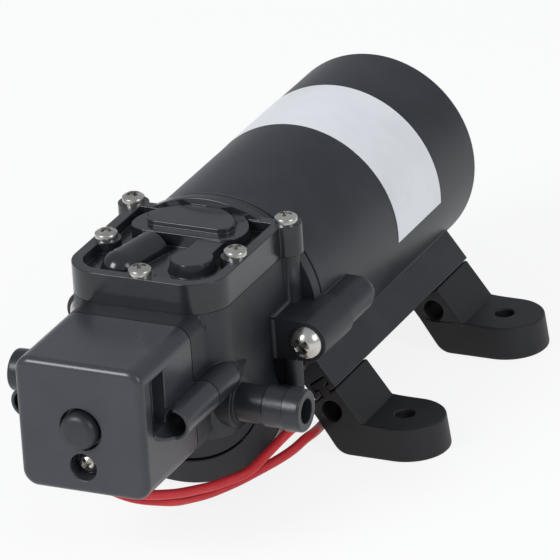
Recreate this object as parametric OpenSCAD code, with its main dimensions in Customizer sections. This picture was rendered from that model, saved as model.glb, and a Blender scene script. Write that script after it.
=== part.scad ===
// Caravan water pump: a single chamber diaphragm pump with its motor and pressure switch.
// Millimetres, +Z up. The origin is on the floor under the middle of the pump, and the
// switch faces -Y. Sub-parts are drawn about the motor's axis, from the switch's front
// face backwards, and place() then sets them on the floor.

/* [Motor] */
// Outer diameter of the motor shell
motor_d = 51; // [49:0.5:55]
// Length of the motor shell
motor_length = 89.4; // [88:0.2:100]
// Wall of the shell
motor_wall = 2; // [1.6:0.1:2.2]
// Thickness of the closed rear end
motor_end = 3; // [2:0.1:4]
// Rounding of the rear rim
motor_rim = 1.5; // [0.5:0.1:1.8]
// Height of the motor's axis above the floor
axis_height = 38; // [37:0.2:42]

/* [Rails and feet] */
// Sideways distance of a rail's outer lower edge from the axis
rail_x = 26.4; // [25.6:0.2:28]
// Drop of that edge below the axis
rail_drop = 21.1; // [20:0.1:22]
// Slope of the rails
rail_slope = 53; // [50:1:56]
// Thickness of a rail
rail_t = 7; // [6.6:0.1:8]
// Length of a rail
rail_length = 77; // [70:0.5:80]
// Distance of the rail behind the seam of head and motor
rail_setback = 2.3; // [1:0.1:4]
// Width of the slot's neck in the rail's lower face
slot_neck = 2.6; // [2:0.1:3]
// Width of the slot's inner part
slot_w = 4.6; // [4:0.1:5]
// Depth of the neck
slot_lip = 1.6; // [1.2:0.1:2]
// Height of the slot's inner part
slot_h = 2.2; // [1.8:0.1:2.6]
// Width of a foot along the pump
foot_w = 18; // [16:0.5:20]
// Thickness of a foot's leg
foot_leg = 9.3; // [8.5:0.1:10]
// Thickness of a foot's pad
foot_pad = 8; // [6:0.2:8.5]
// Flare of the pad from its top to the floor
foot_flare = 0.9; // [0:0.1:1.2]
// Sideways distance of a foot's screw hole from the middle
foot_hole_x = 39.5; // [38:0.5:44]
// Sideways reach of a foot's pad
foot_reach = 50.2; // [49:0.2:52]
// Diameter of a foot's screw hole
foot_hole_d = 4.6; // [4:0.1:5.5]
// Diameter of the cored hole through a foot's leg
foot_core_d = 5; // [3:0.1:5.4]
// Chamfer of the heel
foot_heel = 2.5; // [1:0.1:3]

// Width of the groove at the joint with the pump head
seam_w = 0.6; // [0.4:0.05:0.7]
// Depth of that groove
seam_deep = 0.7; // [0.5:0.1:0.9]

/* [Pump head] */
// Length of the head without the switch stub
head_length = 43.9; // [43:0.1:48]
// Half width of the head
head_half = 19.5; // [19:0.1:20.5]
// Radius of the head's front corners
head_corner = 9; // [7:0.2:10]
// Height of the joint with the top cover above the axis
head_top = 15.5; // [15.2:0.1:16]
// Depth of the head's box below the axis
head_bottom = 16; // [15.8:0.1:17]
// Thickness of the round rear flange
flange_t = 3.3; // [2.5:0.1:4]
// Radius of the cover's corner posts
column_r = 3.7; // [3.5:0.1:4]
// Radius of the head's columns under them
column_low = 2.6; // [2.4:0.1:3]
// Sideways distance of the motor bolts
lug_x = 28.2; // [28:0.1:29]
// Drop of the motor bolts below the axis
lug_drop = 1.4; // [0:0.1:3]
// Radius of the bolt lugs
lug_r = 5; // [4.6:0.1:5.4]
// Length of the bolt lugs
lug_length = 15.7; // [12:0.1:17]
// Length of the matching bosses on the motor
boss_length = 16.7; // [15:0.1:17.5]
// Radius of those bosses
boss_r = 4.3; // [4:0.1:4.6]
// Radius of the ribs where a lug meets the wall
rib_r = 1; // [0.8:0.1:1.2]
// Radius of the post under each lug
post_r = 2.1; // [1.6:0.1:2.4]
// Radius of the half round underside
bell_r = 23; // [22.2:0.1:23.5]
// Drop of its centre below the axis
bell_drop = 6; // [5:0.1:7]
// Length of the half round underside
bell_length = 25.4; // [22:0.1:26]
// Wall of the lower cover
lower_wall = 5.75; // [4:0.05:6]
// Depth of the lower cover's ends below the centre of the round underside
lower_end = 5.5; // [4.5:0.1:6.5]
// Length of the lower cover
lower_length = 11; // [8:0.1:12]

/* [Hose barbs] */
// Drop of the barbs below the axis
barb_drop = 8.6; // [8:0.1:9.4]
// Distance of the barbs behind the head's front wall
barb_back = 8.4; // [8:0.1:8.6]
// Sideways reach of a barb's tip
barb_reach = 37.1; // [35:0.1:40]
// Diameter of the water bore
barb_bore = 5.8; // [5:0.1:6.2]
// Radius of the barb's plain root
barb_root = 4.5; // [4.2:0.1:4.8]
// Radius over the first tooth
barb_tooth = 5; // [4.9:0.05:5.1]
// Radius over the second tooth, next to the tip
barb_ring = 5.2; // [5.1:0.05:5.6]
// Radius of the collar at the wall
barb_collar = 6; // [5.6:0.1:6.2]

/* [Top cover] */
// Height of the cover's rim
cover_h = 7.5; // [7:0.1:8.5]
// Depth of the sunk panel inside the rim
cover_sink = 2.5; // [1.5:0.1:2.6]
// Width of the rim
cover_rim = 2.7; // [2:0.1:3.2]
// Rise of the arch behind the D shaped chamber above the rim
arch_rise = 3.8; // [3:0.1:4.2]
// Thickness of that arch
arch_t = 2.3; // [1.6:0.1:2.6]
// Height of the D shaped chamber above the rim
dome_rise = 2; // [1:0.1:2.4]
// Height of its lower step above the rim
dome_step = 0.75; // [0.4:0.05:1]
// Radius of its lower step
dome_foot = 14.8; // [14:0.1:15.2]
// Radius of its upper step
dome_top = 11.6; // [10.6:0.1:12]
// Distance of the lower step's front edge ahead of the chamber's middle
dome_front = 3.5; // [3:0.1:4]
// Radius of the long dome
long_dome_r = 4.5; // [4:0.1:4.6]
// Radius of the round dome at its foot
round_dome_r = 5.8; // [5:0.1:6]

/* [Screws] */
// Diameter of the cover and switch screws
small_d = 3; // [2.6:0.1:3.1]
// Diameter of their heads
small_head_d = 5.1; // [4.8:0.1:5.6]
// Height of their heads
small_head_h = 2.2; // [1.6:0.1:2.4]
// Length of the cover screws' shanks
cover_screw_l = 16.4; // [12:0.2:17]
// Length of the switch screws' shanks
switch_screw_l = 13; // [10:0.2:13.6]
// Diameter of the motor bolts
bolt_d = 4; // [3.5:0.1:4.1]
// Diameter of their heads
bolt_head_d = 8; // [7:0.1:8.4]
// Height of their heads
bolt_head_h = 2.6; // [2:0.1:3]
// Length of thread in the motor's bosses
bolt_grip = 9; // [6:0.1:9.4]

/* [Pressure switch] */
// Depth of the switch box
switch_depth = 25.9; // [25.2:0.1:28]
// Length of the head's stub behind the switch
stub_length = 5.4; // [5:0.1:7]
// Width of the switch box
switch_w = 32; // [31.6:0.1:32.4]
// Height of the switch box
switch_h = 32.2; // [31.8:0.1:32.4]
// Drop of the box's middle below the axis
switch_drop = 0.7; // [0.6:0.1:0.9]
// Radius of the box's corners
switch_corner = 3.9; // [3:0.1:5]
// Wall of the switch box
switch_wall = 2; // [1.8:0.1:2.1]
// Radius of the screw tunnels
tunnel_r = 3.8; // [3.6:0.1:4]
// Sideways distance of the screw tunnels outside the box
tunnel_out = 2.6; // [2.5:0.1:2.9]
// Radius of the tunnels' bore
tunnel_bore = 2.9; // [2.7:0.1:3]
// Drop of the screw tunnels below the axis
tunnel_drop = 1; // [0:0.1:1.4]
// Distance of the tunnels' mouths behind the face
tunnel_mouth = 9.5; // [8:0.1:11]
// Radius of the plug's cap
plug_r = 4.2; // [4:0.1:4.4]
// Height of the plug's cap above the face
plug_proud = 2.2; // [1.5:0.1:3]
// Gap round the plug's cap
plug_gap = 0.85; // [0.6:0.05:1]
// Depth of the plug's recess
plug_sink = 1.8; // [1.2:0.1:2]
// Height of the adjusting screw above the box's underside
adjust_up = 6.8; // [6.6:0.1:7]
// Depth of the adjusting screw's hole
adjust_sink = 4; // [3:0.1:4.2]
// Travel of the switch plunger
plunger_travel = 1.2; // [0.8:0.1:1.4]
// Turns of the switch spring
spring_turns = 6; // [5:1:8]

/* [Pumping mechanism] */
// Throw of the eccentric
throw = 1.2; // [0.8:0.1:1.3]
// Radius of the eccentric
eccentric_r = 4; // [3.8:0.05:4.2]
// Outer radius of the rod's bearing
rod_bearing_r = 8; // [7.6:0.1:8.2]
// Wall of the rod's eye
rod_wall = 1.4; // [1:0.1:1.6]
// Radius of the diaphragm
diaphragm_r = 13.5; // [12.8:0.1:13.8]
// Thickness of the diaphragm
diaphragm_t = 1.6; // [1.2:0.1:1.8]
// Radius of the piston cap
piston_r = 6.5; // [5.5:0.1:7]
// Radius of the crank chamber
crank_r = 15.5; // [14.8:0.1:15.7]

/* [Motor inside] */
// Radius of the motor's shaft
shaft_r = 2.5; // [2.3:0.1:2.8]
// Outer radius of the shaft's bearings
bearing_r = 8; // [7.5:0.1:8.5]
// Width of the bearings
bearing_w = 5; // [4:0.1:5.5]
// Number of armature poles
poles = 5; // [5:2:7]
// Air gap between the armature and the magnets
air_gap = 0.7; // [0.5:0.1:1]
// Distance of the armature behind the seam of head and motor
armature_setback = 22.8; // [20:0.2:24]
// Thickness of the magnets
magnet_t = 5.1; // [4:0.1:5.3]
// Radius of the commutator
commutator_r = 6; // [5.4:0.1:6.4]

/* [Leads] */
// Diameter of the two leads
lead_d = 2.3; // [2:0.1:2.4]

/* [Clearances] */
// Gap of pressed and glued pieces
press_gap = 0.02; // [0.01:0.005:0.05]
// Running gap of turning and sliding pieces
run_gap = 0.04; // [0.02:0.01:0.08]
// Gap round screw threads
thread_gap = 0.05; // [0.03:0.01:0.1]
// Gap of loose fits
loose_gap = 0.2; // [0.1:0.05:0.3]

/* [Hidden] */
$fn = 64;
over = 1;
charcoal = "#2a2c31";
black = "#1b1b1d";
steel = "#b9bbbe";
copper = "#b06a3a";
coral = "#d8413f";

// Stations along the pump, from the switch's face backwards
y_head = switch_depth + stub_length;
y_seam = y_head + head_length;
y_flange = y_seam - flange_t;
y_end = y_seam + motor_length;
y_mid = (y_end - plug_proud) / 2;
y_crank = y_flange - 15.7;
y_barb = y_head + barb_back;
y_duct = y_barb + 1.8;
y_bell = y_flange - bell_length;
y_lug = y_seam - lug_length;
y_rail = y_seam + rail_setback;
y_grommet = y_rail + 15.5;

motor_r = motor_d / 2;
bore_r = motor_r - motor_wall;
floor_z = -axis_height;
rim_z = head_top + cover_h;
panel_z = rim_z - cover_sink;
cover_rear = y_flange - 2 * loose_gap;
small_r = small_d / 2;
bolt_r = bolt_d / 2;
duct_x = 8.4;
duct_r = 2.6;
lower_r = bell_r + loose_gap + 0.05 + lower_wall;

// Places of the cover's screws seen from above
cover_screw_at = [
    [column_x(), y_flange - 1.1],
    [-column_x(), y_flange - 1.1],
    [head_half - 3.1, y_crank - 6],
    [3.1 - head_half, y_crank - 6],
    [0, y_head + 2.9]
];
function column_x() = head_half + 0.05;

// Heights of the pumping mechanism when the eccentric points down
eccentric_z = -throw;
rod_disc_z = eccentric_z + rod_bearing_r + rod_wall - 0.2;
rod_disc_t = 1.2;
piston_z = rod_disc_z + rod_disc_t + diaphragm_t;
piston_t = 1.4;
ledge_z = rod_disc_z + rod_disc_t + throw;
plate_z = ledge_z + diaphragm_t;
chamber_z = piston_z + piston_t + 2 * throw + 1.2;
chamber_r = diaphragm_r - 3.6;
plate_top = chamber_z + 1.6;
valve_x = 5;
y_valve = y_crank + 3.8;
valve_r = 3.3;
valve_t = 0.7;

// Heights and stations of the pressure switch
switch_z = -switch_drop;
plunger_z = switch_z + 0.1;
inside_w = switch_w - 2 * switch_wall - 5.2;
inside_h = switch_h - 2 * switch_wall;
y_plate = 8;
plate_t = 1.6;
y_flat = switch_depth - 1.6;
membrane_r = 9;
membrane_t = 1.2;
spring_r = 3.2;
spring_wire = 0.4;
button_r = 0.7;
button_z = plunger_z + 5.2;
y_button = y_plate + plate_t + 9.2;
adjust_hole_r = 3.3;
adjust_drop = switch_drop + switch_h / 2 - adjust_up;
tunnel_x = switch_w / 2 + tunnel_out;
pocket_front = tunnel_mouth - 5;
pocket_back = tunnel_mouth + 1.9;
pocket_depth = 3.4;

// Stations of the motor's inside
front_bearing_y = y_seam + 0.8;
rear_bearing_y = y_end - motor_end - bearing_w;
armature_y = y_seam + armature_setback;
armature_r = bore_r - 0.1 - magnet_t - air_gap;
commutator_l = 9;
commutator_y = rear_bearing_y - 2.6 - commutator_l;
brush_y = commutator_y - 2;
armature_length = brush_y - 5 - armature_y;

// Outer edge of a rail, and a point s down its slope and t inwards from its outer face
function rail_pt(s, t) = [
    rail_x + s * cos(rail_slope) - t * sin(rail_slope),
    -rail_drop - s * sin(rail_slope) - t * cos(rail_slope)
];
// Distance down the slope to a height z at depth t
function slope_to(z, t) = (-rail_drop - t * cos(rail_slope) - z) / sin(rail_slope);

// Routes of the two leads, over the floor: points chosen by hand, the first few from the
// switch's underside
lead_r = lead_d / 2;
under = axis_height - switch_drop - switch_h / 2;
motor_lead_route = [
    [-7, -75, under + 4], [-3, -75, under + 2.2], [1, -75, under + 0.6], [5, -74.8, under - 0.9],
    [9, -72.6, under - 2.4], [11.8, -66.6, 16.2], [14.7, -56.2, 12.9], [17.6, -46.2, 10.9], [20.8, -40.6, 11.4],
    [24.2, -38.4, 14.8], [27.4, -35.4, 18.4], [27.6, -29, 18.4], [26.4, -23.6, 16.6], [24, -19, 14.6],
    [20, -12.4, 12.4], [16.6, -4, 10.4], [12.8, 2, 8.2], [8.5, 6.5, 6.4], [4.4, 9.8, 5.8], [1.4, 11.5, 7.2],
    [0, 11.8, 9.4], [0, 11.8, 11]
];
supply_lead_route = [
    [-9, -70, under + 4.7], [-5.5, -70, under + 1.2], [-1.8, -70, under - 2.4], [3, -69.4, under - 5],
    [9.9, -64.2, 13.2], [13, -53.2, 9.4], [16.2, -43.2, 8], [20, -33.2, 8.2], [22.8, -23.2, 8.4],
    [22.8, -14, 7.8], [21.6, -7, 6], [20, -0.5, 4.2], [18.6, 5, 3], [16, 11, 2.2], [12.5, 19, 1.6],
    [9.6, 30, 1.4], [9, 46, 1.4], [9, 66, 1.4],
    [6.4, 72.4, 1.4], [0, 75, 1.4], [-6.4, 72.4, 1.4], [-9, 66, 1.4], [-9, 46, 1.4], [-9, 24, 1.4]
];

// General shapes
module place() {
    translate([0, -y_mid, axis_height]) children();
}
module both() {
    children();
    mirror([1, 0, 0]) children();
}
module along_y(y0, l) {
    translate([0, y0 + l, 0]) rotate([90, 0, 0]) linear_extrude(l) children();
}
module rod_y(r, y0, l, at = [0, 0]) {
    translate([at.x, y0, at.y]) rotate([-90, 0, 0]) cylinder(r = r, h = l);
}
module rod_x(r, x0, l, at = [0, 0]) {
    translate([x0, at.x, at.y]) rotate([0, 90, 0]) cylinder(r = r, h = l);
}
module rod_z(r, z0, l, at = [0, 0]) {
    translate([at.x, at.y, z0]) cylinder(r = r, h = l);
}
module turn_y(y0, at = [0, 0]) {
    translate([at.x, y0, at.y]) rotate([-90, 0, 0]) rotate_extrude() children();
}
module round_rect(w, h, r) {
    square([w - 2 * r, h], center = true);
    square([w, h - 2 * r], center = true);
    for (sx = [-1, 1], sy = [-1, 1])
        translate([sx * (w / 2 - r), sy * (h / 2 - r)]) circle(r);
}
// Half profile of a low dome: radius r, height h, with a straight rim of height e
module dome_profile(r, h, e) {
    ball = (r * r + (h - e) * (h - e)) / (2 * (h - e));
    intersection() {
        square([r, h]);
        translate([0, h - ball]) circle(ball, $fn = 128);
    }
}
// Pan head screw pointing down -Z, with its head's underside at z = 0
module pan_screw(head_d, head_h, shank_r, shank_l) {
    slot = head_d / 7;
    difference() {
        rotate_extrude() dome_profile(head_d / 2, head_h, head_h / 3);
        for (turn = [0, 90])
            rotate(turn) translate([-head_d * 0.28, -slot / 2, head_h * 0.45]) cube([head_d * 0.56, slot, head_h]);
    }
    translate([0, 0, -shank_l]) cylinder(r = shank_r, h = shank_l + head_h / 4);
}
// Ball bearing with its races marked by a groove on each side
module bearing(r_in, r_out, w) {
    groove_w = (r_out - r_in) * 0.45;
    groove_r = (r_in + r_out) / 2;
    rotate_extrude() difference() {
        translate([r_in, 0]) square([r_out - r_in, w]);
        for (z = [0, w]) translate([groove_r, z]) square([groove_w, 0.8], center = true);
    }
}

// Round tubes along a path
function unit(v) = v / norm(v);
function path_dir(p, i) = unit(p[min(i + 1, len(p) - 1)] - p[max(i - 1, 0)]);
function level(n, t) = unit(n - (n * t) * t);
function normals(p, n, i = 0) =
    i == len(p) ? [] : let (m = level(n, path_dir(p, i))) concat([m], normals(p, m, i + 1));
function bend(a, b, c, d, u) =
    (2 * b + (c - a) * u + (2 * a - 5 * b + 4 * c - d) * u * u + (3 * b - a - 3 * c + d) * u * u * u) / 2;
// Smooth path through the points p, with a ring about every step
function smooth(p, step) = concat(
    [for (i = [0 : len(p) - 2])
        let (count = max(1, round(norm(p[i + 1] - p[i]) / step)))
        for (k = [0 : count - 1])
            bend(p[max(i - 1, 0)], p[i], p[i + 1], p[min(i + 2, len(p) - 1)], k / count)],
    [p[len(p) - 1]]);
function helix(r, l, turns) = [for (i = [0 : turns * 8]) [r * cos(i * 45), r * sin(i * 45), l * i / (turns * 8)]];
// Least space between turns of a helix, measured on its points
function coil_gap(p, wire) =
    min([for (i = [0 : len(p) - 1], j = [i + 5 : 1 : len(p) - 1]) norm(p[i] - p[j])]) - 2 * wire;
module tube(path, r, sides, start = [0, 0, 1]) {
    n = normals(path, start);
    points = [for (i = [0 : len(path) - 1], k = [0 : sides - 1])
        let (a = 360 * k / sides, t = path_dir(path, i))
        path[i] + r * (cos(a) * n[i] + sin(a) * cross(t, n[i]))];
    last = len(path) - 1;
    walls = [for (i = [0 : last - 1], k = [0 : sides - 1], half = [0, 1])
        let (a = i * sides + k, b = i * sides + (k + 1) % sides)
        half == 0 ? [a, a + sides, b] : [b, a + sides, b + sides]];
    near_end = [for (k = [1 : sides - 2]) [0, k, k + 1]];
    far_end = [for (k = [1 : sides - 2]) [last * sides, last * sides + k + 1, last * sides + k]];
    polyhedron(points, concat(walls, near_end, far_end));
}

// Motor
module motor_housing() {
    color(charcoal) place() difference() {
        union() {
            turn_y(y_seam) {
                square([motor_r - motor_rim, motor_length]);
                square([motor_r - seam_deep, motor_length - motor_rim]);
                translate([0, seam_w]) square([motor_r, motor_length - motor_rim - seam_w]);
                translate([motor_r - motor_rim, motor_length - motor_rim]) circle(motor_rim);
            }
            both() {
                along_y(y_rail, rail_length) rail_section();
                motor_boss();
            }
        }
        difference() {
            rod_y(bore_r, y_seam - over, motor_length - motor_end + over);
            rod_y(bearing_r + 2.5, rear_bearing_y, motor_length);
        }
        rod_y(bearing_r + press_gap, rear_bearing_y - over, bearing_w + over);
        both() rod_y(bolt_r + thread_gap, y_seam - over, bolt_grip + 2 * over, [lug_x, -lug_drop]);
        rod_z(grommet_r() + loose_gap / 2, -motor_r - over, motor_wall + 2 * over, [0, y_grommet]);
    }
}
function grommet_r() = lead_r + 1.4;
module rail_section() {
    root = 14;
    difference() {
        polygon([rail_pt(-root, 0), rail_pt(0, 0), rail_pt(0, rail_t), rail_pt(-root, rail_t)]);
        rail_slot(0);
    }
}
// Section of the T slot, or with a gap of the tongue that fits it
module rail_slot(gap) {
    mid = rail_t / 2;
    neck = slot_neck / 2 - gap;
    half = slot_w / 2 - gap;
    deep = slot_lip + slot_h;
    polygon([
        rail_pt(over, mid - neck), rail_pt(over, mid + neck),
        rail_pt(-slot_lip - gap, mid + neck), rail_pt(-slot_lip - gap, mid + half),
        rail_pt(gap - deep, mid + half), rail_pt(gap - deep, mid - half),
        rail_pt(-slot_lip - gap, mid - half), rail_pt(-slot_lip - gap, mid - neck)
    ]);
}
module motor_boss() {
    straight = boss_length - boss_r;
    inner = motor_r - 6;
    rod_y(boss_r, y_seam, straight, [lug_x, -lug_drop]);
    translate([lug_x, y_seam + straight, -lug_drop]) sphere(boss_r);
    rod_x(boss_r, inner, lug_x - inner, [y_seam + straight, -lug_drop]);
    translate([inner, y_seam, -lug_drop - boss_r]) cube([lug_x - inner, straight, 2 * boss_r]);
}
module front_plate() {
    seat_end = front_bearing_y + bearing_w;
    color(steel) place() difference() {
        union() {
            rod_y(bore_r - 0.1, y_seam, 4);
            rod_y(bearing_r + 2.5, y_seam, seat_end - y_seam);
        }
        rod_y(bearing_r + press_gap, front_bearing_y, bearing_w + over);
        rod_y(shaft_r + 2, y_seam - over, 4);
    }
}
module shaft_bearing(y0) {
    color(steel) place() translate([0, y0, 0]) rotate([-90, 0, 0]) bearing(shaft_r + run_gap, bearing_r, bearing_w);
}
module front_bearing() {
    shaft_bearing(front_bearing_y);
}
module rear_bearing() {
    shaft_bearing(rear_bearing_y);
}
module motor_shaft() {
    color(steel) place() {
        rod_y(shaft_r, y_crank + 6.3, y_end - motor_end - y_crank - 7.3);
        rod_y(journal_r(), y_crank - 10, 17);
    }
}
function journal_r() = shaft_r - 0.5;
module armature() {
    shoe = 2.4;
    color(steel) place() along_y(armature_y, armature_length) difference() {
        union() {
            circle(commutator_r);
            for (i = [0 : poles - 1]) rotate(90 + i * 360 / poles) {
                translate([0, -1.5]) square([armature_r - shoe / 2, 3]);
                intersection() {
                    difference() {
                        circle(armature_r);
                        circle(armature_r - shoe);
                    }
                    wedge(armature_r * 1.5, 150 / poles);
                }
            }
        }
        circle(shaft_r + press_gap);
    }
}
// Flat wedge along +X that opens by an angle to each side
module wedge(r, half_angle) {
    polygon([[0, 0], [r * cos(half_angle), -r * sin(half_angle)], [r * cos(half_angle), r * sin(half_angle)]]);
}
module windings() {
    near = commutator_r + 1.5;
    far = armature_r - 3.1;
    half = 20 / poles;
    color(copper) place() for (i = [0 : poles - 1]) rotate([0, -90 - i * 360 / poles, 0]) difference() {
        translate([near, armature_y - 2.5, -half]) cube([far - near, armature_length + 5, 2 * half]);
        translate([near - over, armature_y - 0.1, -1.6]) cube([far, armature_length + 0.2, 3.2]);
    }
}
module commutator() {
    color(copper) place() along_y(commutator_y, commutator_l) difference() {
        circle(commutator_r);
        circle(shaft_r + press_gap);
        for (i = [0 : poles - 1]) rotate(i * 360 / poles) translate([commutator_r - 1, -0.25]) square([2, 0.5]);
    }
}
module magnets() {
    color(black) place() along_y(armature_y - 2, armature_length + 5) for (side = [0, 180])
        intersection() {
            difference() {
                circle(bore_r - 0.1);
                circle(bore_r - 0.1 - magnet_t);
            }
            rotate(side) wedge(2 * motor_r, 60);
        }
}
brush_h = 4;
brush_l = 7;
brush_spring_l = 5;
module brush_plate() {
    holder_end = commutator_r + brush_l + brush_spring_l;
    color(black) place() {
        along_y(brush_y, 2) difference() {
            circle(bore_r - 0.1);
            circle(commutator_r + 2);
        }
        for (side = [0, 180]) rotate([0, side, 0]) translate([commutator_r + 2, commutator_y - 0.5, 0]) {
            for (z = [-1, 1])
                translate([0, 0, z * (brush_h / 2 + 0.1) - (z < 0 ? 1.2 : 0)])
                    cube([holder_end - commutator_r - 2, commutator_l - 1.5, 1.2]);
            translate([holder_end - commutator_r - 2, 0, -brush_h / 2 - 1.3])
                cube([1.2, commutator_l - 1.5, brush_h + 2.6]);
        }
    }
}
module brushes() {
    color(black) place() for (side = [0, 180]) rotate([0, side, 0]) difference() {
        translate([commutator_r - 1, commutator_y + 1.5, -brush_h / 2]) cube([brush_l + 0.9, 5, brush_h]);
        rod_y(commutator_r + run_gap, commutator_y, commutator_l);
    }
}
module brush_springs() {
    wire = 0.25;
    path = helix(1.4, brush_spring_l - 2 * wire - 0.1, 5);
    echo("brush spring gap", coil_gap(path, wire));
    color(steel) place() for (side = [0, 180])
        rotate([0, side, 0]) translate([commutator_r + brush_l + wire, commutator_y + 4, 0])
            rotate([0, 90, 0]) tube(path, wire, 6, [1, 0, 0]);
}

// Pump head
module head_plan(y_rear, inset = 0) {
    half = head_half - inset;
    r = head_corner - inset;
    front = y_head + inset;
    translate([-half, front + r]) square([2 * half, y_rear - inset - front - r]);
    translate([r - half, front]) square([2 * (half - r), 2 * r]);
    for (side = [-1, 1]) translate([side * (half - r), front + r]) circle(r);
}
module pump_housing() {
    color(charcoal) place() difference() {
        union() {
            translate([0, 0, -head_bottom]) linear_extrude(head_top + head_bottom) head_plan(y_flange + over);
            switch_stub();
            rod_y(motor_r, y_flange, flange_t);
            along_y(y_bell, y_flange + over - y_bell) bell_section();
            both() {
                rod_z(column_low, -lug_drop, head_top + lug_drop, cover_screw_at[0]);
                head_lug();
                switch_tunnel_end();
                barb();
            }
        }
        crank_space();
        both() {
            rod_x(barb_bore / 2, duct_x, barb_reach, [y_barb, -barb_drop]);
            rod_z(duct_r, -barb_drop, head_top + barb_drop + over, [duct_x, y_duct]);
            rod_y(bolt_r + loose_gap, y_lug - over, lug_length + 2 * over, [lug_x, -lug_drop]);
            rod_y(small_r + thread_gap, switch_depth - over, 8 + over, [tunnel_x, -tunnel_drop]);
        }
        for (at = cover_screw_at) rod_z(small_r + thread_gap, rim_z - cover_screw_l - 0.2, cover_screw_l, at);
        rod_y(membrane_r + loose_gap, switch_depth - over, membrane_t + over, [0, plunger_z]);
        rod_y(membrane_r - 2.5, switch_depth, membrane_t + 0.8, [0, plunger_z]);
        rod_y(1, switch_depth, y_duct - switch_depth, [-duct_x + 2.8, 2]);
    }
}
// Stub that carries the switch; behind the front wall it stays below the joint
module switch_stub() {
    along_y(switch_depth, stub_length) translate([0, switch_z]) round_rect(switch_w, switch_h, switch_corner);
    along_y(y_head - over, 3 + over) intersection() {
        translate([0, switch_z]) round_rect(switch_w, switch_h, switch_corner);
        translate([-switch_w, head_top - 0.1 - 2 * switch_h]) square([2 * switch_w, 2 * switch_h]);
    }
}
// Round underside, cut back at its upper corners to the head's walls
module bell_section() {
    low = -bell_drop - 5;
    out = bell_r - head_half;
    difference() {
        half_disc(bell_r);
        for (side = [-1, 1]) scale([side, 1]) polygon([
            [head_half, over - bell_drop], [head_half, low], [bell_r, low - 2 * out],
            [bell_r + over, low - 2 * out], [bell_r + over, over - bell_drop]
        ]);
    }
}
// Half disc below the centre of the round underside
module half_disc(r) {
    translate([0, -bell_drop]) intersection() {
        circle(r, $fn = 96);
        translate([-2 * r, -2 * r]) square([4 * r, 2 * r]);
    }
}
// Space for the crank, the diaphragm's seat and the front journal
module crank_space() {
    roof = crank_r / 2 + 0.2;
    along_y(y_crank - 6.7, y_seam - y_crank + 6.7 + over) intersection() {
        circle(crank_r);
        translate([-crank_r, -crank_r]) square([2 * crank_r, crank_r + roof]);
    }
    rod_z(diaphragm_r - 2.5, 0, head_top, [0, y_crank]);
    rod_z(diaphragm_r + 0.1, ledge_z, head_top, [0, y_crank]);
    rod_y(journal_r() + run_gap, y_crank - 10.7, 8);
}
module head_lug() {
    inner = head_half - 2;
    rod_y(lug_r, y_lug, lug_length, [lug_x, -lug_drop]);
    translate([inner, y_lug, -lug_drop - lug_r]) cube([lug_x - inner, lug_length, 2 * lug_r]);
    rod_y(rib_r, y_lug + 0.4, 8.5, [head_half + 0.2, lug_r - lug_drop - 0.2]);
    rod_z(rib_r, -lug_drop - lug_r, 2 * lug_r - 0.2, [head_half + 0.2, y_lug + 0.4]);
    post_x = lug_x - 4;
    rod_z(post_r, -bell_drop - 14, 14, [post_x, y_lug + 1.3]);
    translate([post_x - 8, y_lug + 1.8, -bell_drop - 14]) cube([8, 1.4, 14]);
}
module switch_tunnel_end() {
    straight = stub_length + 4.7;
    rod_y(tunnel_r, switch_depth, straight, [tunnel_x, -tunnel_drop]);
    translate([tunnel_x, switch_depth + straight, -tunnel_drop]) rotate([-90, 0, 0])
        cylinder(r1 = tunnel_r, r2 = tunnel_r / 4, h = 10);
    tunnel_web(switch_depth, stub_length + over);
}
// Hose barb on the right, with its collar, teeth and tip ring
module barb() {
    wall = head_half - 4;
    collar = head_half + 1;
    first = barb_reach - 9.3;
    second = barb_reach - 4.3;
    edge = 0.4;
    translate([0, y_barb, -barb_drop]) rotate([0, 90, 0]) rotate_extrude() polygon([
        [0, wall], [barb_collar, wall], [barb_collar, collar], [barb_root, collar],
        [barb_root, first], [barb_tooth, first], [barb_root, second], [barb_ring, second],
        [barb_ring - edge / 2, barb_reach - edge], [barb_ring - 1.5 * edge, barb_reach], [0, barb_reach]
    ]);
}
module lower_cover() {
    color(charcoal) place() along_y(y_bell - 0.5, lower_length) difference() {
        half_disc(lower_r);
        translate([0, -bell_drop]) circle(lower_r - lower_wall, $fn = 96);
        translate([-2 * lower_r, -bell_drop - lower_end]) square([4 * lower_r, 2 * lower_end]);
    }
}
module head_bolts() {
    color(steel) place() both() translate([lug_x, y_lug, -lug_drop]) rotate([90, 0, 0])
        pan_screw(bolt_head_d, bolt_head_h, bolt_r, lug_length + bolt_grip);
}

// Top cover
dome_y = y_crank + 2.5;
module top_cover() {
    color(black) place() difference() {
        union() {
            translate([0, 0, head_top]) linear_extrude(panel_z - head_top) cover_plan();
            translate([0, 0, head_top]) linear_extrude(cover_h) {
                difference() {
                    cover_plan();
                    head_plan(cover_rear, cover_rim);
                }
                intersection() {
                    cover_plan();
                    for (at = cover_screw_at) translate(at) circle(column_r - 0.2);
                }
            }
            d_chamber();
            rear_arch();
            long_dome();
            round_dome();
        }
        for (at = cover_screw_at) rod_z(small_r + loose_gap, head_top - over, cover_h + 2 * over, at);
        rod_y(motor_r + 2 * loose_gap, cover_rear, 10);
        valve_space();
        both() {
            rod_z(duct_r, head_top - over, over + 3, [duct_x, y_duct]);
            rod_y(2, y_duct, y_crank - y_duct - 6, [duct_x, head_top + 3]);
        }
    }
}
module cover_plan() {
    head_plan(cover_rear);
    for (i = [0, 1]) translate(cover_screw_at[i]) circle(column_r);
}
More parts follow.
